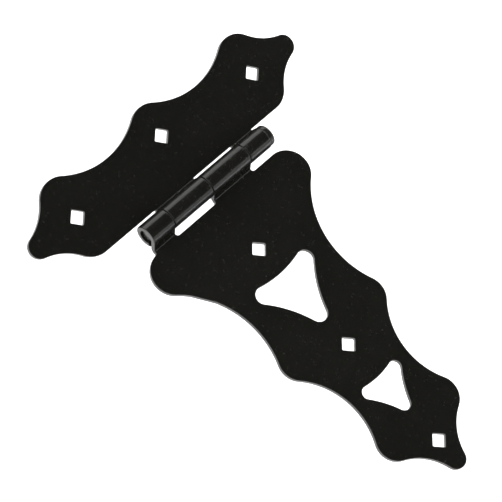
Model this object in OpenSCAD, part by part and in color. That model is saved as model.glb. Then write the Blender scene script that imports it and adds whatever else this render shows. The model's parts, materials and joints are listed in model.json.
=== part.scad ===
// Ornamental tee hinge of pressed steel plate. A long scalloped strap leaf and a
// scalloped jamb leaf are joined by knuckles rolled from their own plate round one pin.
// The origin lies on the back plane of the strap, under the middle of the pin.
// +X runs along the strap to its tip, +Y along the pin, +Z out of the front face.

/* [Plate and pin] */
// Thickness of the plate that both leaves are pressed from
plate_t = 2.7; // [2:0.1:3.4]
// Diameter of the hinge pin
pin_d = 8; // [6:0.1:10]
// Radial running clearance between the pin and the knuckles that turn on it
pin_clearance = 0.05; // [0.02:0.01:0.1]
// Radial interference of the pin in the end knuckle that grips it
pin_grip = 0.01; // [0:0.005:0.03]
// Height of the underside of the barrel above the back plane
barrel_lift = 0.2; // [0:0.1:1]

/* [Barrel] */
// Length of each of the two outer knuckles
end_knuckle = 16; // [12:0.1:20]
// Length of each of the two inner knuckles
inner_knuckle = 29.4; // [22:0.1:36]
// Free gap between neighbouring knuckles
knuckle_gap = 0.4; // [0.2:0.1:1]
// Gap left at the seam where a rolled knuckle ends beside its own tab
seam_gap = 0.4; // [0.2:0.1:1]
// Distance from the end of the gripped knuckle in to the end of the pin
pin_recess = 1.3; // [0.5:0.1:3]
// Chamfer on the end of the pin
pin_chamfer = 0.6; // [0.2:0.1:1]
// Step from the round of the barrel in to the rim of the pin head
head_inset = 0.35; // [0.1:0.05:1]
// Thickness of the head of the pin
head_t = 3.7; // [1.6:0.1:4]
// Rounding of the rim of the head
head_rounding = 1.5; // [0.6:0.1:2.2]

/* [Strap leaf] */
// Length of the strap from the pin axis to the tip
strap_length = 203.4; // [169:0.1:245]
// Gap between the barrel and the straight hinge edge of the strap
strap_gap = 3.45; // [2.5:0.05:6]
// Lean of the strap tabs away from upright
strap_tab_lean = 18; // [5:1:22]
// Width across the shoulder lobes
shoulder_w = 117.2; // [110:0.1:141]
// Radius of the shoulder lobes
shoulder_r = 13; // [10:0.1:15]
// Width across the upper waist
upper_waist_w = 67; // [60:0.1:76]
// Distance from the tip back to the middle lobes
middle_back = 101.4; // [90:0.1:110]
// Width across the middle lobes
middle_w = 78.4; // [72:0.1:94]
// Radius of the middle lobes
middle_r = 12.2; // [10:0.1:14.6]
// Width across the lower waist
lower_waist_w = 46; // [42:0.1:54]
// Distance from the tip back to the lower lobes
lower_back = 35.3; // [33:0.1:40]
// Width across the lower lobes
lower_w = 59.8; // [54:0.1:66]
// Radius of the lower lobes
lower_r = 11.8; // [10:0.1:13]
// Radius of the coves beside the tip
tip_cove_r = 32; // [28:0.1:38]
// Radius of the tip
tip_r = 6.1; // [5:0.1:7.3]
// Radius in the corners of the notches that clear the jamb knuckles
notch_r = 1.4; // [0.5:0.1:1.6]

/* [Strap windows] */
// Width of the large window across its base corners
large_window_w = 43.2; // [36:0.1:48]
// Radius of the base corners of the large window
large_corner_r = 5.1; // [4:0.1:6.1]
// Radius of the point of the large window
large_point_r = 5.4; // [4:0.1:6.5]
// Distance from the first bolt hole to the base corner centres
large_base_gap = 20.6; // [17:0.1:24]
// Distance from the centre of the point to the second bolt hole
large_point_gap = 23.5; // [20:0.1:28]
// Radius of the bowed sides of the large window
large_side_r = 71; // [60:1:90]
// Radius of the bowed base of the large window
large_base_r = 66; // [55:1:90]
// Width of the small window across its base corners
small_window_w = 29.6; // [25:0.1:32]
// Radius of the base corners of the small window
small_corner_r = 3.8; // [3:0.1:4.6]
// Radius of the point of the small window
small_point_r = 4.2; // [3:0.1:5]
// Distance from the second bolt hole to the base corner centres
small_base_gap = 26; // [22:0.1:29]
// Distance from the centre of the point to the third bolt hole
small_point_gap = 27.3; // [23:0.1:30]
// Radius of the bowed sides of the small window
small_side_r = 61; // [50:1:75]
// Radius of the bowed base of the small window
small_base_r = 50; // [40:1:70]

/* [Jamb leaf] */
// Length of the jamb leaf between the tips of its ears
jamb_length = 201.8; // [168:0.1:243]
// Width of the jamb leaf from the pin axis to its outer lobes
jamb_width = 55; // [50:0.1:64]
// Gap between the barrel and the straight hinge edge of the jamb leaf
jamb_gap = 0.45; // [0.4:0.05:3]
// Lean of the jamb tabs away from upright
jamb_tab_lean = 1; // [0:1:4]
// Radius of the ears
ear_r = 6.5; // [5:0.1:7.5]
// Distance from the pin axis to the centre line of the ears
ear_x = 31.2; // [29:0.1:34]
// Distance from the tip of an ear back to the inner corner lobe
corner_back = 34.2; // [31:0.1:38]
// Radius of the inner corner lobes
corner_r = 14.5; // [12:0.1:16]
// Radius of the coves between the ears and the inner corner lobes
inner_cove_r = 31; // [27:0.1:36]
// Distance from the tip of an ear back to the outer lobe
outer_back = 32.9; // [30:0.1:37]
// Radius of the outer lobes
outer_r = 13.5; // [11:0.1:15]
// Radius of the coves between the ears and the outer lobes
outer_cove_r = 32; // [28:0.1:37]
// Radius of the lobe at the middle of the outer side
middle_lobe_r = 14.4; // [12:0.1:17]
// Distance from the pin axis to the waists of the outer side
jamb_waist = 44.9; // [42:0.1:49]

/* [Bends] */
// Inside radius of the bend from the strap plate up into its tabs
strap_bend_r = 1; // [0.5:0.1:1.5]
// Inside radius of the bend from the jamb plate up into its tabs
jamb_bend_r = 0.5; // [0.3:0.1:0.8]

/* [Bolt holes] */
// Side of the square holes for carriage bolts
bolt_square = 7.4; // [6.6:0.1:9.6]
// Radius in the corners of the square holes
bolt_corner_r = 0.6; // [0.2:0.1:1]
// Distance from the pin axis to the first strap hole
first_bolt_x = 44; // [38:0.1:50]
// Distance from the tip back to the last strap hole
last_bolt_back = 19.1; // [16:0.1:21]
// Distance from the pin axis to the two end holes of the jamb leaf
jamb_bolt_x = 30.6; // [27:0.1:36]
// Distance from the pin axis to the middle hole of the jamb leaf
jamb_middle_bolt_x = 35.7; // [31:0.1:41]
// Distance from the tip of an ear back to the end hole of the jamb leaf
jamb_bolt_back = 33.1; // [28:0.1:38]

/* [Pose] */
// Angle by which the jamb leaf is folded forward from flat
fold = 13; // [0:1:30]

/* [Hidden] */

coat = "#1d1f20";
// How far a chord may stray from its arc in an outline
chord_error = 0.02;
// How far a cutter runs past the face that it cuts
past = 1;
// How far a flat side crosses a round face that it meets smoothly
bite = 0.01;

bore_r = pin_d / 2 + pin_clearance;
grip_r = pin_d / 2 - pin_grip;
barrel_r = bore_r + plate_t;
axis_z = barrel_r + barrel_lift;
strap_edge = barrel_r + strap_gap;
jamb_edge = barrel_r + jamb_gap;
head_r = barrel_r - head_inset;

// Knuckles as [low y, high y], in order along the pin: strap, jamb, strap, jamb
inner_start = knuckle_gap / 2;
inner_end = inner_start + inner_knuckle;
outer_start = inner_end + knuckle_gap;
barrel_end = outer_start + end_knuckle;
knuckles = [
    [-barrel_end, -outer_start],
    [-inner_end, -inner_start],
    [inner_start, inner_end],
    [outer_start, barrel_end]
];

// Lobes of the strap as [x, y, r]
shoulder = [strap_edge + shoulder_r, shoulder_w / 2 - shoulder_r, shoulder_r];
middle = [strap_length - middle_back, middle_w / 2 - middle_r, middle_r];
lower = [strap_length - lower_back, lower_w / 2 - lower_r, lower_r];
tip = [strap_length - tip_r, 0, tip_r];

// Lobes of the jamb leaf as [x, y, r], drawn on the +X side and mirrored later
corner = [jamb_edge + corner_r, jamb_length / 2 - corner_back, corner_r];
ear = [ear_x, jamb_length / 2 - ear_r, ear_r];
outer = [jamb_width - outer_r, jamb_length / 2 - outer_back, outer_r];
middle_lobe = [jamb_width - middle_lobe_r, 0, middle_lobe_r];

last_bolt_x = strap_length - last_bolt_back;
strap_bolts = [for (k = [0:2]) [first_bolt_x + k * (last_bolt_x - first_bolt_x) / 2, 0]];
jamb_bolt_y = jamb_length / 2 - jamb_bolt_back;
jamb_bolts = [[jamb_bolt_x, -jamb_bolt_y], [jamb_middle_bolt_x, 0], [jamb_bolt_x, jamb_bolt_y]];

// A point at an angle on a circle [x, y, r]
function on(c, a) = [c[0] + c[2] * cos(a), c[1] + c[2] * sin(a)];

// Direction of point q seen from the centre of circle c
function toward(c, q) = atan2(q[1] - c[1], q[0] - c[0]);

// Point where two circles that touch on the outside meet
function touch(a, b) = on(a, toward(a, b));

// Points along circle c from angle a through a sweep, without the last one
function arc(c, a, sweep) =
    let (n = max(1, ceil(abs(sweep) / (2 * acos(1 - chord_error / c[2])))))
    [for (k = [0:n - 1]) on(c, a + sweep * k / n)];

// Arc on circle c from point p towards point q, turning left if turn is 1 and right if it is -1
function arc_between(c, p, q, turn) =
    let (a = toward(c, p), b = toward(c, q))
    arc(c, a, turn * (((turn * (b - a)) % 360 + 360) % 360));

// Cove of radius r that touches lobes a and b, on the right of the way from a to b
function cove(a, b, r) =
    let (
        d = norm([b[0] - a[0], b[1] - a[1]]),
        ra = a[2] + r,
        rb = b[2] + r,
        off = acos((ra * ra + d * d - rb * rb) / (2 * ra * d)),
        centre = on([a[0], a[1], ra], toward(a, b) - off)
    )
    [centre[0], centre[1], r];

// Cove between lobes a and b, with b at the greater x, that dips to height w above the x axis
function waist_cove(a, b, w) =
    let (
        ha = a[2] + a[1] - w,
        hb = b[2] + b[1] - w,
        qa = pow(w - a[1], 2) - pow(a[2], 2),
        qb = pow(w - b[1], 2) - pow(b[2], 2),
        // The lowest point splits the step between the lobes in the ratio s, by a quadratic
        d = b[0] - a[0],
        k2 = hb - ha,
        k1 = 2 * d * ha,
        k0 = qa * hb - (d * d + qb) * ha,
        s = 2 * -k0 / (k1 + sqrt(k1 * k1 - 4 * k2 * k0)),
        r = (s * s + qa) / (2 * ha)
    )
    [a[0] + s, w + r, r];

// Swaps the x and y of a circle
function swapped(c) = [c[1], c[0], c[2]];

// Outline that runs along lobes and the coves between them, starting at point from and
// ending at point to, which lie on the first and the last lobe
function scallops(lobes, coves, from, to) =
    let (last = len(coves))
    concat(
        [for (k = [0:last]) each concat(
            arc_between(
                lobes[k],
                k == 0 ? from : touch(lobes[k], coves[k - 1]),
                k == last ? to : touch(lobes[k], coves[k]),
                1
            ),
            k == last ? [] : arc_between(
                coves[k],
                touch(lobes[k], coves[k]),
                touch(lobes[k + 1], coves[k]),
                -1
            )
        )],
        [to]
    );

// The points of a half outline and of its mirror image, for a half that starts on the x axis
function both_sides(half) =
    concat(half, [for (k = [len(half) - 1:-1:1]) [half[k][0], -half[k][1]]]);

// Blank of the strap leaf, without its tabs
function strap_outline() =
    let (
        coves = [
            cove(tip, lower, tip_cove_r),
            waist_cove(middle, lower, lower_waist_w / 2),
            waist_cove(shoulder, middle, upper_waist_w / 2)
        ]
    )
    both_sides(scallops(
        [tip, lower, middle, shoulder], coves, [strap_length, 0], [strap_edge, shoulder[1]]
    ));

// Blank of the jamb leaf, without its tabs
function jamb_outline() =
    let (
        coves = [
            swapped(waist_cove(swapped(middle_lobe), swapped(outer), jamb_waist)),
            cove(outer, ear, outer_cove_r),
            cove(ear, corner, inner_cove_r)
        ]
    )
    both_sides(scallops(
        [middle_lobe, outer, ear, corner], coves, [jamb_width, 0], [jamb_edge, corner[1]]
    ));

// Window with a round point toward +X and two round base corners, all joined by bowed sides
function window(point, base, side_r, base_r) =
    let (
        mirrored_base = [base[0], -base[1], base[2]],
        side = cove(point, base, side_r),
        foot = cove(base, mirrored_base, base_r),
        half = scallops([point, base], [side], [point[0] + point[2], 0], touch(base, foot)),
        sill = arc_between(foot, touch(base, foot), touch(mirrored_base, foot), -1)
    )
    concat(
        half,
        [for (k = [1:len(sill) - 1]) sill[k]],
        [for (k = [len(half) - 1:-1:1]) [half[k][0], -half[k][1]]]
    );

// Square hole with its corners on the x and y directions
function bolt_hole(at) =
    let (reach = (bolt_square / 2 - bolt_corner_r) * sqrt(2))
    [for (q = [0:3]) let (
        c = [at[0] + reach * cos(90 * q), at[1] + reach * sin(90 * q), bolt_corner_r]
    ) each concat(arc(c, 90 * q - 45, 90), [on(c, 90 * q + 45)])];

// Distance from the pin axis to the line where the bend of a tab starts
function bend_start(lean, bend_r) =
    (barrel_r + bend_r + (axis_z - plate_t - bend_r) * sin(lean)) / cos(lean);

// Flat plate of a leaf with its square holes
module plate(outline, holes) {
    linear_extrude(plate_t) difference() {
        polygon(outline);
        for (at = holes) polygon(bolt_hole(at));
    }
}

// Fills the corner between the hinge edge and one side of a tab, dir is 1 on its +Y side
module notch_corner(edge, y, dir) {
    ring = [edge - notch_r, y + dir * notch_r, notch_r];
    linear_extrude(plate_t)
        polygon(concat([[edge, y]], arc(ring, 0, -dir * 90), [[edge - notch_r, y]]));
}

// Extrudes a profile drawn in X and Z along the pin, from y0 to y1
module along_pin(y0, y1) {
    translate([0, y1, 0]) rotate([90, 0, 0]) linear_extrude(y1 - y0) children();
}

// Knuckle k with its tab, which leaves the plate at x = root, bends up, runs over the pin
// and ends at the seam. The sides of the tab run bite deeper than true tangents, so that
// they cross the round faces instead of only touching them.
module knuckle(k, inner_r, lean, bend_r, root) {
    y0 = knuckles[k][0];
    y1 = knuckles[k][1];
    far = 2 * barrel_r;
    seam = acos((inner_r - seam_gap) / barrel_r);
    eye = [0, axis_z];
    bend = [bend_start(lean, bend_r), plate_t + bend_r];
    inside = [bend[0], bend[1], bend_r];
    outside = [bend[0], bend[1], bend_r + plate_t];
    tab_top = on([eye[0], eye[1], inner_r - bite], lean);
    tab_foot = on(outside, 180 + lean);
    difference() {
        union() {
            difference() {
                translate([0, y1, axis_z]) rotate([90, 0, 0])
                    cylinder(r = barrel_r, h = y1 - y0, $fn = 96);
                along_pin(y0 - past, y1 + past) polygon([
                    eye, on([eye[0], eye[1], far], lean - seam), [bend[0], -past], tab_foot, tab_top
                ]);
            }
            along_pin(y0, y1) polygon(concat(
                [on([eye[0], eye[1], barrel_r - bite], lean)],
                arc(inside, 180 + lean, 90 - lean),
                [[bend[0], plate_t], [root, plate_t], [root, 0]],
                arc(outside, 270, lean - 90),
                [tab_foot, tab_top]
            ));
        }
        translate([0, y1 + past, axis_z]) rotate([90, 0, 0])
            cylinder(r = inner_r, h = y1 - y0 + 2 * past, $fn = 96);
    }
}

module strap_leaf() {
    large_base = [strap_bolts[0][0] + large_base_gap, large_window_w / 2 - large_corner_r, large_corner_r];
    large_point = [strap_bolts[1][0] - large_point_gap, 0, large_point_r];
    small_base = [strap_bolts[1][0] + small_base_gap, small_window_w / 2 - small_corner_r, small_corner_r];
    small_point = [strap_bolts[2][0] - small_point_gap, 0, small_point_r];
    color(coat) {
        difference() {
            plate(strap_outline(), strap_bolts);
            translate([0, 0, -past]) linear_extrude(plate_t + 2 * past) {
                polygon(window(large_point, large_base, large_side_r, large_base_r));
                polygon(window(small_point, small_base, small_side_r, small_base_r));
            }
        }
        notch_corner(strap_edge, knuckles[0][1], 1);
        notch_corner(strap_edge, knuckles[2][0], -1);
        notch_corner(strap_edge, knuckles[2][1], 1);
        knuckle(0, grip_r, strap_tab_lean, strap_bend_r, shoulder[0]);
        knuckle(2, bore_r, strap_tab_lean, strap_bend_r, shoulder[0]);
    }
}

module jamb_leaf() {
    color(coat)
        translate([0, 0, axis_z]) rotate([0, fold, 0]) translate([0, 0, -axis_z])
        mirror([1, 0, 0]) {
            plate(jamb_outline(), jamb_bolts);
            for (k = [1, 3]) knuckle(k, bore_r, jamb_tab_lean, jamb_bend_r, corner[0]);
        }
}

module hinge_pin() {
    start = -barrel_end + pin_recess;
    seat = barrel_end + knuckle_gap / 2;
    rim = [head_r - head_rounding, head_t - head_rounding, head_rounding];
    color(coat) translate([0, 0, axis_z]) rotate([-90, 0, 0]) {
        translate([0, 0, start])
            cylinder(r1 = pin_d / 2 - pin_chamfer, r2 = pin_d / 2, h = pin_chamfer, $fn = 96);
        translate([0, 0, start + pin_chamfer])
            cylinder(r = pin_d / 2, h = seat - start - pin_chamfer, $fn = 96);
        translate([0, 0, seat]) rotate_extrude($fn = 96)
            polygon(concat([[0, 0], [head_r, 0]], arc(rim, 0, 90), [on(rim, 90), [0, head_t]]));
    }
}

strap_leaf();
jamb_leaf();
hinge_pin();
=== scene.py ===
import json
from math import acos, atan2, ceil, cos, degrees, hypot, pi, radians, sin, sqrt, tau

import bmesh
import bpy
from mathutils import Matrix, Quaternion, Vector


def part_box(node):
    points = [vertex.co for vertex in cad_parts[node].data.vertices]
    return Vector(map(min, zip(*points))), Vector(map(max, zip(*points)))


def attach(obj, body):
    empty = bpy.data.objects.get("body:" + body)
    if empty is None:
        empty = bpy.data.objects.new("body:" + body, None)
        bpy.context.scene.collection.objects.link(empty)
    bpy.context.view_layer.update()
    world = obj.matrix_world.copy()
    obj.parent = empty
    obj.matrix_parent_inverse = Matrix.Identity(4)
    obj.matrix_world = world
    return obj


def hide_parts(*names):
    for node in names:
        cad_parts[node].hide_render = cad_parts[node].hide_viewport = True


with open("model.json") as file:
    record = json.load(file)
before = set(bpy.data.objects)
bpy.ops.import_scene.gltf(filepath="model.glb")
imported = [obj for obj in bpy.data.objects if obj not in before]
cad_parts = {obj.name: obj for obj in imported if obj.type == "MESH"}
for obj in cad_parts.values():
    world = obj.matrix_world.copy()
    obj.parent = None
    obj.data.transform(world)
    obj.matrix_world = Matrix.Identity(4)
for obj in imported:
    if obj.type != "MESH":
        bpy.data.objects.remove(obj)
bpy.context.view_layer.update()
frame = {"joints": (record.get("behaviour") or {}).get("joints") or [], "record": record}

# ---------------------------------------------------------------------------------------
# The studio. A light tent of white paper: a round floor that sweeps up into a low wall. The paper
# glows by itself
# # with painted light, an emission that is full on the jamb's side and dimmer on the strap's side.
# Its centre is off the
# # hinge, and its floor lies below the reach of the folded-back jamb leaf. Three softboxes light
# it as well, two of them long thin strips.
# ---------------------------------------------------------------------------------------
tent_radius = 2.2
tent_cove = 0.35
tent_height = 1.40
tent_shift = 0.33
tent_glow = 1.02
tent_segments = 96
floor_rings = 6
cove_steps = 12
floor_z = -0.105
paper_bright = (0.84, 0.84, 0.83, 1)
paper_shade = (0.80, 0.80, 0.80, 1)
glow_full = (1, 1, 1, 1)
glow_dim = (0.11, 0.11, 0.11, 1)
ceiling_grey = (0.09, 0.09, 0.09, 1)


def lathe(name, profile, segments, closed_start=False, closed_end=False):
    """Mesh turned round Z from (radius, height) points. A closed end is a pole on the axis."""
    bm = bmesh.new()
    turns = [tau * k / segments for k in range(segments)]
    rings = [
        [bm.verts.new((radius * cos(turn), radius * sin(turn), height)) for turn in turns]
        for radius, height in profile
    ]
    for low, high in zip(rings, rings[1:]):
        for k in range(segments):
            bm.faces.new((low[k - 1], low[k], high[k], high[k - 1]))
    for ring, closed in ((rings[0], closed_start), (rings[-1], closed_end)):
        if closed:
            pole = bm.verts.new((0, 0, ring[0].co.z))
            for k in range(segments):
                bm.faces.new((ring[k - 1], ring[k], pole))
    return smooth_piece(name, bm)


def smooth_piece(name, bm):
    """Object in the scene from a finished mesh, with its normals outward and smooth shading."""
    bmesh.ops.recalc_face_normals(bm, faces=bm.faces)
    mesh = bpy.data.meshes.new(name)
    bm.to_mesh(mesh)
    bm.free()
    mesh.shade_smooth()
    piece = bpy.data.objects.new(name, mesh)
    bpy.context.scene.collection.objects.link(piece)
    return piece


class Socket:
    """One output of a shader node, so that shader maths reads as Python."""

    def __init__(self, shader, output):
        self.shader = shader
        self.output = output

    def maths(self, operation, first, second):
        return self.shader.add("ShaderNodeMath", {"operation": operation}, {0: first, 1: second})

    def __add__(self, other):
        return self.maths("ADD", self, other)

    def __radd__(self, other):
        return self.maths("ADD", other, self)

    def __mul__(self, other):
        return self.maths("MULTIPLY", self, other)

    def __rmul__(self, other):
        return self.maths("MULTIPLY", other, self)

    def above(self, low, high):
        """0 where this value is under low, 1 over high, and a smooth step between."""
        settings = {"interpolation_type": "SMOOTHSTEP", "clamp": True}
        inputs = {"Value": self, "From Min": low, "From Max": high}
        return self.shader.add("ShaderNodeMapRange", settings, inputs)


class Shader:
    """A node material. add() makes any node, and mix() blends two colours."""

    def __init__(self, name):
        self.material = bpy.data.materials.new(name)
        self.material.use_nodes = True
        self.tree = self.material.node_tree
        self.surface = self.tree.nodes["Principled BSDF"]

    def set(self, socket, value):
        if isinstance(value, Socket):
            self.tree.links.new(value.output, socket)
        else:
            socket.default_value = value

    def add(self, kind, settings, inputs, output=0):
        node = self.tree.nodes.new(kind)
        for key, value in settings.items():
            setattr(node, key, value)
        for key, value in inputs.items():
            self.set(node.inputs[key], value)
        return Socket(self, node.outputs[output])

    def mix(self, share, first, second):
        node = self.tree.nodes.new("ShaderNodeMix")
        node.data_type = "RGBA"
        factor = next(s for s in node.inputs if s.name == "Factor" and s.type == "VALUE")
        colours = [s for s in node.inputs if s.type == "RGBA"]
        for socket, value in ((factor, share), (colours[0], first), (colours[1], second)):
            self.set(socket, value)
        return Socket(self, next(s for s in node.outputs if s.type == "RGBA"))

    def noise(self, place, scale, detail=2.0, roughness=0.5):
        inputs = {"Vector": place, "Scale": scale, "Detail": detail, "Roughness": roughness}
        return self.add("ShaderNodeTexNoise", {}, inputs)

    def finish(self, **inputs):
        """Sets or links the surface's sockets, such as Base_Color, and gives the material."""
        for key, value in inputs.items():
            self.set(self.surface.inputs[key.replace("_", " ")], value)
        return self.material


paper = Shader("tent_paper_painted_glow")
paper_place = paper.add("ShaderNodeTexCoord", {}, {}, "Object")
# Painted light: the paper has an emission of its own, full on the jamb's side and fading to dim on
# the strap's side.
painted_glow_fade = paper.add("ShaderNodeSeparateXYZ", {}, {"Vector": paper_place}, "X").above(0.2, 1.3)
tent_paper_painted_glow = paper.finish(
    Base_Color=paper.mix(paper.noise(paper_place, 3.0), paper_shade, paper_bright),
    Roughness=0.9,
    Emission_Color=paper.mix(painted_glow_fade, glow_full, glow_dim),
    Emission_Strength=tent_glow,
)
tent_profile = [(tent_radius * k / (floor_rings + 2), floor_z) for k in range(1, floor_rings + 1)]
for step in range(cove_steps + 1):
    turn = radians(90 * step / cove_steps)
    reach = tent_radius - tent_cove * (1 - sin(turn))
    tent_profile.append((reach, floor_z + tent_cove * (1 - cos(turn))))
tent_profile.append((tent_radius, tent_height))
tent = lathe("studio_floor", tent_profile, tent_segments, closed_start=True)
tent.location.x = tent_shift
tent.data.materials.append(tent_paper_painted_glow)


def softbox(name, at, width, height, watts):
    """Area light that faces the hinge and isn't seen itself."""
    light = bpy.data.lights.new(name, "AREA")
    light.shape = "RECTANGLE"
    light.size = width
    light.size_y = height
    light.energy = watts
    lamp = bpy.data.objects.new(name, light)
    bpy.context.scene.collection.objects.link(lamp)
    lamp.location = at
    lamp.rotation_euler = (-Vector(at)).to_track_quat("-Z", "Y").to_euler()
    lamp.visible_camera = False


softbox("key_softbox", (-0.3, -1.3, 1.5), width=1.8, height=1.0, watts=9)
softbox("high_strip", (1.7, 0.9, 0.97), width=2.6, height=0.16, watts=2.2)
softbox("low_strip", (1.8, 0.9, -0.03), width=2.6, height=0.10, watts=4.5)

world = bpy.data.worlds.new("studio_ceiling")
world.use_nodes = True
world.node_tree.nodes["Background"].inputs["Color"].default_value = ceiling_grey
bpy.context.scene.world = world
bpy.context.scene.view_settings.view_transform = "Standard"

# The camera looks down on the front face from beyond the lower end of the barrel.
camera_aim = Vector((0.04177, -0.00307, 0.0))
camera_distance = 1.0766
azimuth = radians(8.30)
elevation = radians(63.61)
roll = radians(39.28)
lens = bpy.data.cameras.new("camera")
lens.sensor_width = 36
lens.lens = 143.43
lens.dof.use_dof = False
camera = bpy.data.objects.new("camera", lens)
bpy.context.scene.collection.objects.link(camera)
from_aim = Vector((sin(azimuth) * cos(elevation), -cos(azimuth) * cos(elevation), sin(elevation)))
camera.location = camera_aim + camera_distance * from_aim
upright = (-from_aim).to_track_quat("-Z", "Y")
camera.rotation_euler = (upright @ Quaternion((0, 0, 1), roll)).to_euler()
bpy.context.scene.camera = camera

# ---------------------------------------------------------------------------------------
# Strap leaf. One blank of steel plate, sheared to a scalloped outline and pierced, with two
# tabs that are bent up and rolled over the pin into knuckles. It is drawn flat in millimetres,
# with the soft edges that shearing and the coating leave, and then its tabs are rolled.
# ---------------------------------------------------------------------------------------
MM = 0.001
plate = 2.7
bore = 4.05
barrel = bore + plate
axis_z = frame["joints"][0]["pos_m"][2] / MM
seam_gap = 0.4
knuckle_gap = 0.4
inner_knuckle = 29.4
end_knuckle = 16.0
inner_low = knuckle_gap / 2
inner_high = inner_low + inner_knuckle
end_low = inner_high + knuckle_gap
barrel_end = end_low + end_knuckle
edge_round = 0.15
knuckle_round = 0.6
round_steps = 4
chord_error = 0.01
bend_steps = 8
ring_steps = 60
least_step = 0.05
bolt_square = 7.4
bolt_corner = 0.6

strap_gap = 3.45
shoulder_r = 13.0
upper_waist_w = 67.0
middle_back = 101.4
middle_w = 78.4
middle_r = 12.2
lower_waist_w = 46.0
lower_back = 35.3
lower_w = 59.8
lower_r = 11.8
tip_cove_r = 32.0
tip_r = 6.1
first_bolt = 44.0
last_bolt_back = 19.1
strap_tab_lean = 18
strap_bend_r = 1.0
notch_r = 1.4
end_fillet = 0.8
cove_x = 50.0


def on(circle, angle):
    """Point at an angle, in degrees, on a circle (x, y, radius)."""
    x, y, r = circle
    return (x + r * cos(radians(angle)), y + r * sin(radians(angle)))


def toward(circle, point):
    """Direction, in degrees, of a point seen from the centre of a circle."""
    return degrees(atan2(point[1] - circle[1], point[0] - circle[0]))


def touch(a, b):
    """Where two circles that touch on the outside meet."""
    return on(a, toward(a, b))


def arc(circle, start, sweep):
    """Points along a circle, without the last one."""
    step = degrees(2 * acos(1 - chord_error / circle[2]))
    count = max(2, ceil(abs(sweep) / step))
    return [on(circle, start + sweep * k / count) for k in range(count)]


def arc_between(circle, a, b, turn):
    """Points along a circle from a towards b, turning left for 1 and right for -1."""
    start = toward(circle, a)
    return arc(circle, start, turn * ((turn * (toward(circle, b) - start)) % 360))


def cove(a, b, r):
    """Cove of radius r that touches lobes a and b, on the right of the way from a to b."""
    gap = hypot(b[0] - a[0], b[1] - a[1])
    ra = a[2] + r
    rb = b[2] + r
    off = degrees(acos((ra * ra + gap * gap - rb * rb) / (2 * ra * gap)))
    return (*on((a[0], a[1], ra), toward(a, b) - off), r)


def waist_cove(a, b, w):
    """Cove between lobes a and b, with b at the greater x, that dips to height w.

    Its centre is s past a at height w + r. Touching each lobe gives one equation in s and r,
    and together they leave the quadratic k2 s s + k1 s + k0 = 0.
    """
    ha = a[2] + a[1] - w
    hb = b[2] + b[1] - w
    qa = (w - a[1]) ** 2 - a[2] ** 2
    qb = (w - b[1]) ** 2 - b[2] ** 2
    step = b[0] - a[0]
    k2 = hb - ha
    k1 = 2 * step * ha
    k0 = qa * hb - (step * step + qb) * ha
    s = 2 * -k0 / (k1 + sqrt(k1 * k1 - 4 * k2 * k0))
    r = (s * s + qa) / (2 * ha)
    return (a[0] + s, w + r, r)


def scallops(lobes, coves, start, end):
    """Outline along lobes and the coves between them, from start to end."""
    points = []
    last = len(coves)
    for k, lobe in enumerate(lobes):
        a = start if k == 0 else touch(lobe, coves[k - 1])
        b = end if k == last else touch(lobe, coves[k])
        points += arc_between(lobe, a, b, 1)
        if k < last:
            points += arc_between(coves[k], b, touch(lobes[k + 1], coves[k]), -1)
    return points + [end]


def mirrored(half):
    """The mirror image of a half outline, run backwards, without the point on the x axis."""
    return [(x, -y) for x, y in reversed(half[1:])]


def square_hole(x, y):
    """Square hole for a carriage bolt, with its corners on the x and y directions."""
    reach = (bolt_square / 2 - bolt_corner) * sqrt(2)
    points = []
    for quarter in (0, 90, 180, 270):
        centre = (*on((x, y, reach), quarter), bolt_corner)
        points += arc(centre, quarter - 45, 90) + [on(centre, quarter + 45)]
    return points


def window(point, base, side_r, base_r):
    """Window with a round point toward +x and round base corners, joined by bowed sides."""
    other = (base[0], -base[1], base[2])
    side = cove(point, base, side_r)
    sill = cove(base, other, base_r)
    half = scallops([point, base], [side], (point[0] + point[2], 0), touch(base, sill))
    bow = arc_between(sill, touch(base, sill), touch(other, sill), -1)
    return half + bow[1:] + mirrored(half)


class Roll:
    """Path of a tab: up from the plate round a bend, straight on, and round the pin."""

    def __init__(self, lean, bend_r):
        self.lean = radians(lean)
        level = axis_z - plate - bend_r
        self.bend_x = (barrel + bend_r + level * sin(self.lean)) / cos(self.lean)
        self.bend_r = bend_r + plate / 2
        self.bend_z = plate + bend_r
        self.bend_end = self.bend_r * (pi / 2 - self.lean)
        self.foot_x = self.bend_x - self.bend_r * cos(self.lean)
        self.foot_z = self.bend_z - self.bend_r * sin(self.lean)
        self.ring_r = bore + plate / 2
        ring_x = self.ring_r * cos(self.lean)
        ring_z = axis_z + self.ring_r * sin(self.lean)
        self.ring_start = self.bend_end + hypot(ring_x - self.foot_x, ring_z - self.foot_z)
        self.ring_length = self.ring_r * (tau - acos((bore - seam_gap) / barrel))

    def stations(self, root):
        """The x at which a tab is cut across, from its root to its end."""
        bend = [self.bend_end * k / bend_steps for k in range(bend_steps + 1)]
        ring = [self.ring_start + self.ring_length * k / ring_steps for k in range(ring_steps + 1)]
        cuts = [self.bend_x - s for s in bend + ring]
        return [root] + [x for x in cuts if x < root - least_step]

    def place(self, x, z):
        """Where a point of the flat blank goes when the tab is rolled."""
        s = self.bend_x - x
        out = z - plate / 2
        if s <= 0:
            return x, z
        if s <= self.bend_end:
            turn = 1.5 * pi - s / self.bend_r
            r = self.bend_r - out
            return self.bend_x + r * cos(turn), self.bend_z + r * sin(turn)
        if s <= self.ring_start:
            up = s - self.bend_end
            x_up = self.foot_x - up * sin(self.lean)
            z_up = self.foot_z + up * cos(self.lean)
            return x_up + out * cos(self.lean), z_up + out * sin(self.lean)
        turn = self.lean + (s - self.ring_start) / self.ring_r
        r = self.ring_r + out
        return r * cos(turn), axis_z + r * sin(turn)


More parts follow.
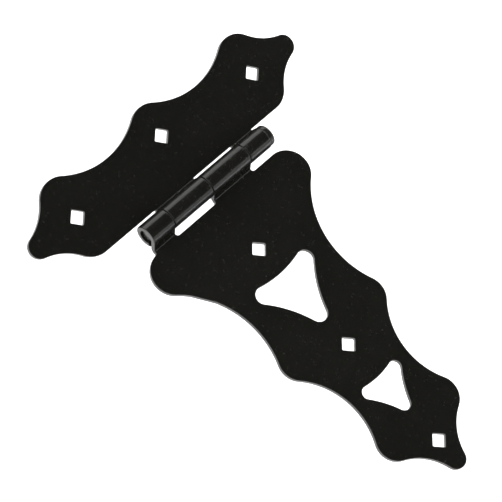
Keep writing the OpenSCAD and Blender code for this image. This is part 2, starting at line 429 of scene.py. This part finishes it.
def tab(outline, roll, edge, high, low, high_fillet, low_fillet):
    """Adds a tab to an outline that runs down a hinge edge, and pairs up its two sides."""
    root = edge - max(high_fillet, low_fillet)
    cuts = roll.stations(root)
    outline += arc((edge - high_fillet, high + high_fillet, high_fillet), 0, -90)
    if high_fillet < low_fillet:
        outline.append((edge - high_fillet, high))
    first = len(outline)
    last = first + 2 * len(cuts) - 1
    outline += [(x, high) for x in cuts] + [(x, low) for x in reversed(cuts)]
    if low_fillet < high_fillet:
        outline.append((edge - low_fillet, low))
    outline += arc((edge - low_fillet, low - low_fillet, low_fillet), 90, -90)[1:]
    outline.append((edge, low - low_fillet))
    return [(first + k, last - k) for k in range(len(cuts))]


def edge_profile(front):
    """Inset and height of the rows from the front rim of an edge to its back rim."""
    turns = [radians(90 * k / round_steps) for k in range(round_steps + 1)]
    upper = [(front * (1 - sin(a)), plate - front * (1 - cos(a))) for a in turns]
    lower = [(edge_round * (1 - sin(a)), edge_round * (1 - cos(a))) for a in reversed(turns)]
    return upper + lower


def edge_rows(bm, loop, in_tab=()):
    """Rows of vertices round the edge of a blank. The metal is on the left of the loop."""
    rows = [[] for _ in edge_profile(edge_round)]
    for k, (x, y) in enumerate(loop):
        x_next, y_next = loop[(k + 1) % len(loop)]
        back = Vector((x - loop[k - 1][0], y - loop[k - 1][1])).normalized()
        ahead = Vector((x_next - x, y_next - y)).normalized()
        left = Vector((-back.y - ahead.y, back.x + ahead.x)) / (1 + back.dot(ahead))
        profile = edge_profile(knuckle_round if k in in_tab else edge_round)
        for row, (inset, z) in zip(rows, profile):
            row.append(bm.verts.new((x + left.x * inset, y + left.y * inset, z)))
    for upper, lower in zip(rows, rows[1:]):
        for k in range(len(loop)):
            bm.faces.new((upper[k - 1], upper[k], lower[k], lower[k - 1]))
    return rows


def leaf(name, outline, tabs, holes, roll):
    """Solid leaf: the edges of its outline and holes, its two faces, and its rolled tabs."""
    bm = bmesh.new()
    in_tab = {k for pairs in tabs for pair in pairs for k in pair}
    outer = edge_rows(bm, outline, in_tab)
    inner = [edge_rows(bm, list(reversed(hole))) for hole in holes]
    for side in (0, -1):
        rim = outer[side]
        edges = [
            bm.edges.get((rim[k - 1], rim[k]))
            for k in range(len(rim))
            if not (k in in_tab and (k - 1) % len(rim) in in_tab)
        ]
        for pairs in tabs:
            edges.append(bm.edges.new((rim[pairs[0][0]], rim[pairs[0][1]])))
            for (a, b), (c, d) in zip(pairs, pairs[1:]):
                bm.faces.new((rim[a], rim[b], rim[d], rim[c]))
        for rows in inner:
            loop = rows[side]
            edges += [bm.edges.get((loop[k - 1], loop[k])) for k in range(len(loop))]
        bmesh.ops.triangle_fill(bm, use_beauty=True, edges=edges)
    rims = {v for rows in [outer, *inner] for side in (0, -1) for v in rows[side]}
    edge = bm.verts.layers.float.new("edge")
    for v in bm.verts:
        v[edge] = 0.0 if v in rims else 1.0
        v.co.x, v.co.z = roll.place(v.co.x, v.co.z)
    bmesh.ops.scale(bm, vec=(MM, MM, MM), verts=bm.verts)
    return smooth_piece(name, bm)


def even_normals(piece):
    """Keeps the flat faces flat in the shading, and blends only across the small roundings."""
    smooth = piece.modifiers.new("even_normals", "WEIGHTED_NORMAL")
    smooth.weight = 100
    smooth.keep_sharp = False


def coating(name, dark, light, gloss):
    """Black coating baked on over steel: faint orange peel, uneven gloss and a little dust.

    The attribute edge is 1 on the sheared edges, where the coating is thin and duller.
    """
    dust_grey = (0.10, 0.10, 0.095, 1)
    worn_grey = (0.040, 0.040, 0.038, 1)
    shader = Shader(name)
    place = shader.add("ShaderNodeTexCoord", {}, {}, "Object")
    drift = shader.noise(place, 28.0, 3.0)
    peel = shader.noise(place, 850.0)
    grain = shader.noise(place, 3600.0)
    dust = shader.noise(place, 1900.0, 1.0).above(0.80, 0.86)
    rub = shader.noise(place, 140.0, 4.0, 0.6).above(0.55, 0.75)
    edge = shader.add("ShaderNodeAttribute", {"attribute_name": "edge"}, {}, "Fac")
    worn = edge * shader.noise(place, 420.0, 4.0, 0.65).above(0.50, 0.72)
    colour = shader.mix(drift.above(0.35, 0.65), dark, light)
    colour = shader.mix(dust * 0.05, colour, dust_grey)
    colour = shader.mix(worn * 0.15, colour, worn_grey)
    relief = {"Strength": 0.35, "Distance": 0.00002, "Height": peel * 0.7 + grain * 0.10}
    return shader.finish(
        Base_Color=colour,
        Roughness=gloss + 0.05 * drift + 0.05 * rub + 0.10 * worn,
        Normal=shader.add("ShaderNodeBump", {}, relief),
        IOR=1.5,
    )


strap_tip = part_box("strap_leaf")[1].x / MM
shoulder_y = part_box("strap_leaf")[1].y / MM
strap_edge = barrel + strap_gap
last_bolt = strap_tip - last_bolt_back
middle_bolt = (first_bolt + last_bolt) / 2
shoulder = (strap_edge + shoulder_r, shoulder_y - shoulder_r, shoulder_r)
middle_lobe = (strap_tip - middle_back, middle_w / 2 - middle_r, middle_r)
lower_lobe = (strap_tip - lower_back, lower_w / 2 - lower_r, lower_r)
tip_lobe = (strap_tip - tip_r, 0, tip_r)
upper_half = scallops(
    [tip_lobe, lower_lobe, middle_lobe, shoulder],
    [
        cove(tip_lobe, lower_lobe, tip_cove_r),
        waist_cove(middle_lobe, lower_lobe, lower_waist_w / 2),
        waist_cove(shoulder, middle_lobe, upper_waist_w / 2),
    ],
    (strap_tip, 0),
    (strap_edge, shoulder[1]),
)
strap_roll = Roll(strap_tab_lean, strap_bend_r)
strap_outline = list(upper_half)
strap_tabs = [
    tab(strap_outline, strap_roll, strap_edge, inner_high, inner_low, notch_r, notch_r),
    tab(strap_outline, strap_roll, strap_edge, -end_low, -barrel_end, notch_r, end_fillet),
]
# The last tab's fillet ends on the round of the lower shoulder, so points of the lower half
# above that end are left out. Up to cove_x this also takes a short stretch of the cove.
fillet_end = -barrel_end - end_fillet - least_step
strap_outline += [p for p in mirrored(upper_half) if p[1] < fillet_end or p[0] > cove_x]
large_window = window(
    point=(middle_bolt - 23.5, 0, 5.4),
    base=(first_bolt + 20.6, 43.2 / 2 - 5.1, 5.1),
    side_r=71,
    base_r=66,
)
small_window = window(
    point=(last_bolt - 27.3, 0, 4.2),
    base=(middle_bolt + 26, 29.6 / 2 - 3.8, 3.8),
    side_r=61,
    base_r=50,
)
strap_holes = [square_hole(x, 0) for x in (first_bolt, middle_bolt, last_bolt)]
strap_holes += [large_window, small_window]
strap = leaf("strap_leaf_plate", strap_outline, strap_tabs, strap_holes, strap_roll)
even_normals(strap)
leaf_dark = (0.0092, 0.0089, 0.0068, 1)
leaf_light = (0.0112, 0.0108, 0.0086, 1)
leaf_black = coating("leaf_black_coating", leaf_dark, leaf_light, gloss=0.17)
strap.data.materials.append(leaf_black)
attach(strap, "strap")
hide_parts("strap_leaf")

# ---------------------------------------------------------------------------------------
# Jamb leaf. A second blank of the same plate, with three square holes and two rolled tabs
# whose knuckles stand between and above those of the strap. It is drawn on the +x side,
# turned over to the -x side, and folded forward about the pin.
# ---------------------------------------------------------------------------------------
jamb_width = 55.0
jamb_gap = 0.45
jamb_tab_lean = 1
jamb_bend_r = 0.5
ear_x = 31.2
ear_r = 6.5
corner_back = 34.2
corner_r = 14.5
inner_cove_r = 31.0
outer_back = 32.9
outer_r = 13.5
outer_cove_r = 32.0
side_r = 14.4
jamb_waist = 44.9
jamb_bolt_x = 30.6
jamb_middle_bolt_x = 35.7
jamb_bolt_back = 33.1
root_fillet = 0.3


def swapped(circle):
    """The circle with its x and y exchanged."""
    return (circle[1], circle[0], circle[2])


jamb_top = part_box("jamb_leaf")[1].y / MM
jamb_edge = barrel + jamb_gap
corner = (jamb_edge + corner_r, jamb_top - corner_back, corner_r)
ear = (ear_x, jamb_top - ear_r, ear_r)
outer_lobe = (jamb_width - outer_r, jamb_top - outer_back, outer_r)
side_lobe = (jamb_width - side_r, 0, side_r)
jamb_half = scallops(
    [side_lobe, outer_lobe, ear, corner],
    [
        swapped(waist_cove(swapped(side_lobe), swapped(outer_lobe), jamb_waist)),
        cove(outer_lobe, ear, outer_cove_r),
        cove(ear, corner, inner_cove_r),
    ],
    (jamb_width, 0),
    (jamb_edge, corner[1]),
)
jamb_roll = Roll(jamb_tab_lean, jamb_bend_r)
jamb_outline = list(jamb_half)
jamb_tabs = [
    tab(jamb_outline, jamb_roll, jamb_edge, high, low, root_fillet, root_fillet)
    for high, low in ((barrel_end, end_low), (-inner_low, -inner_high))
]
jamb_outline += mirrored(jamb_half)
jamb_bolt_y = jamb_top - jamb_bolt_back
jamb_holes = [
    square_hole(jamb_bolt_x, jamb_bolt_y),
    square_hole(jamb_middle_bolt_x, 0),
    square_hole(jamb_bolt_x, -jamb_bolt_y),
]
jamb = leaf("jamb_leaf_plate", jamb_outline, jamb_tabs, jamb_holes, jamb_roll)
back_axis = next(m for m in frame["record"]["mounts"] if m["name"] == "jamb_back")["axis"]
fold = Matrix.Rotation(atan2(-back_axis[0], -back_axis[2]), 4, "Y")
to_pin = Matrix.Translation((0, 0, axis_z * MM))
turned_over = Matrix.Scale(-1, 4, (1, 0, 0))
jamb.data.transform(to_pin @ fold @ to_pin.inverted() @ turned_over)
jamb.data.flip_normals()
even_normals(jamb)
jamb.data.materials.append(leaf_black)
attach(jamb, "jamb")
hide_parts("jamb_leaf")

# ---------------------------------------------------------------------------------------
# Hinge pin. Cold-headed from 8 mm rod: a round head with a rolled rim at the upper end, and a
# chamfered lower end that sits inside the last knuckle, with the two marks of the punch that
# staked it there. It is turned round z, end first, and then laid along the barrel.
# ---------------------------------------------------------------------------------------
pin_low, pin_high = (corner_of_box.y / MM for corner_of_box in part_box("hinge_pin"))
head_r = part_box("hinge_pin")[1].x / MM
pin_r = 4.0
chamfer = 0.6
soft = 0.05
seat = barrel_end + knuckle_gap / 2
seat_round = 0.25
rim_r = 1.5
rim_steps = 8
crown = 0.25
crown_steps = 6
end_ring = 0.5
end_rings = 6
pin_segments = 64
punch_marks = ((1.2, 1.6), (-0.9, 2.1))
punch_r = 1.1
punch_depth = 0.5

rod = [(end_ring * k, pin_low) for k in range(1, end_rings + 1)]
rod += [
    (pin_r - chamfer - 2 * soft, pin_low),
    (pin_r - chamfer + soft, pin_low + soft),
    (pin_r - soft, pin_low + chamfer - soft),
    (pin_r, pin_low + chamfer + 2 * soft),
    (pin_r, seat - 2 * soft),
    (pin_r + 2 * soft, seat),
    (head_r - seat_round, seat),
    (head_r, seat + seat_round),
]
for step in range(rim_steps + 1):
    turn = radians(90 * step / rim_steps)
    rod.append((head_r - rim_r * (1 - cos(turn)), pin_high - crown - rim_r * (1 - sin(turn))))
for step in range(1, crown_steps):
    share = 1 - step / crown_steps
    rod.append(((head_r - rim_r) * share, pin_high - crown * share * share))
pin = lathe("hinge_pin_rod", rod, pin_segments, closed_start=True, closed_end=True)
pole_of_head = pin.data.vertices[-1]
pole_of_head.co.z = pin_high
for v in pin.data.vertices:
    if v.co.z < pin_low + soft / 2:
        depths = [1 - hypot(v.co.x - x, v.co.y - y) / punch_r for x, y in punch_marks]
        v.co.z += punch_depth * sum(max(0.0, depth) ** 2 for depth in depths)
pin.data.transform(to_pin @ Matrix.Scale(MM, 4) @ Matrix.Rotation(radians(-90), 4, "X"))
pin.data.attributes.new("edge", "FLOAT", "POINT")
even_normals(pin)
pin_dark = (0.012, 0.012, 0.011, 1)
pin_light = (0.018, 0.018, 0.016, 1)
pin.data.materials.append(coating("pin_black_coating", pin_dark, pin_light, gloss=0.20))
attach(pin, "strap")
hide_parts("hinge_pin")
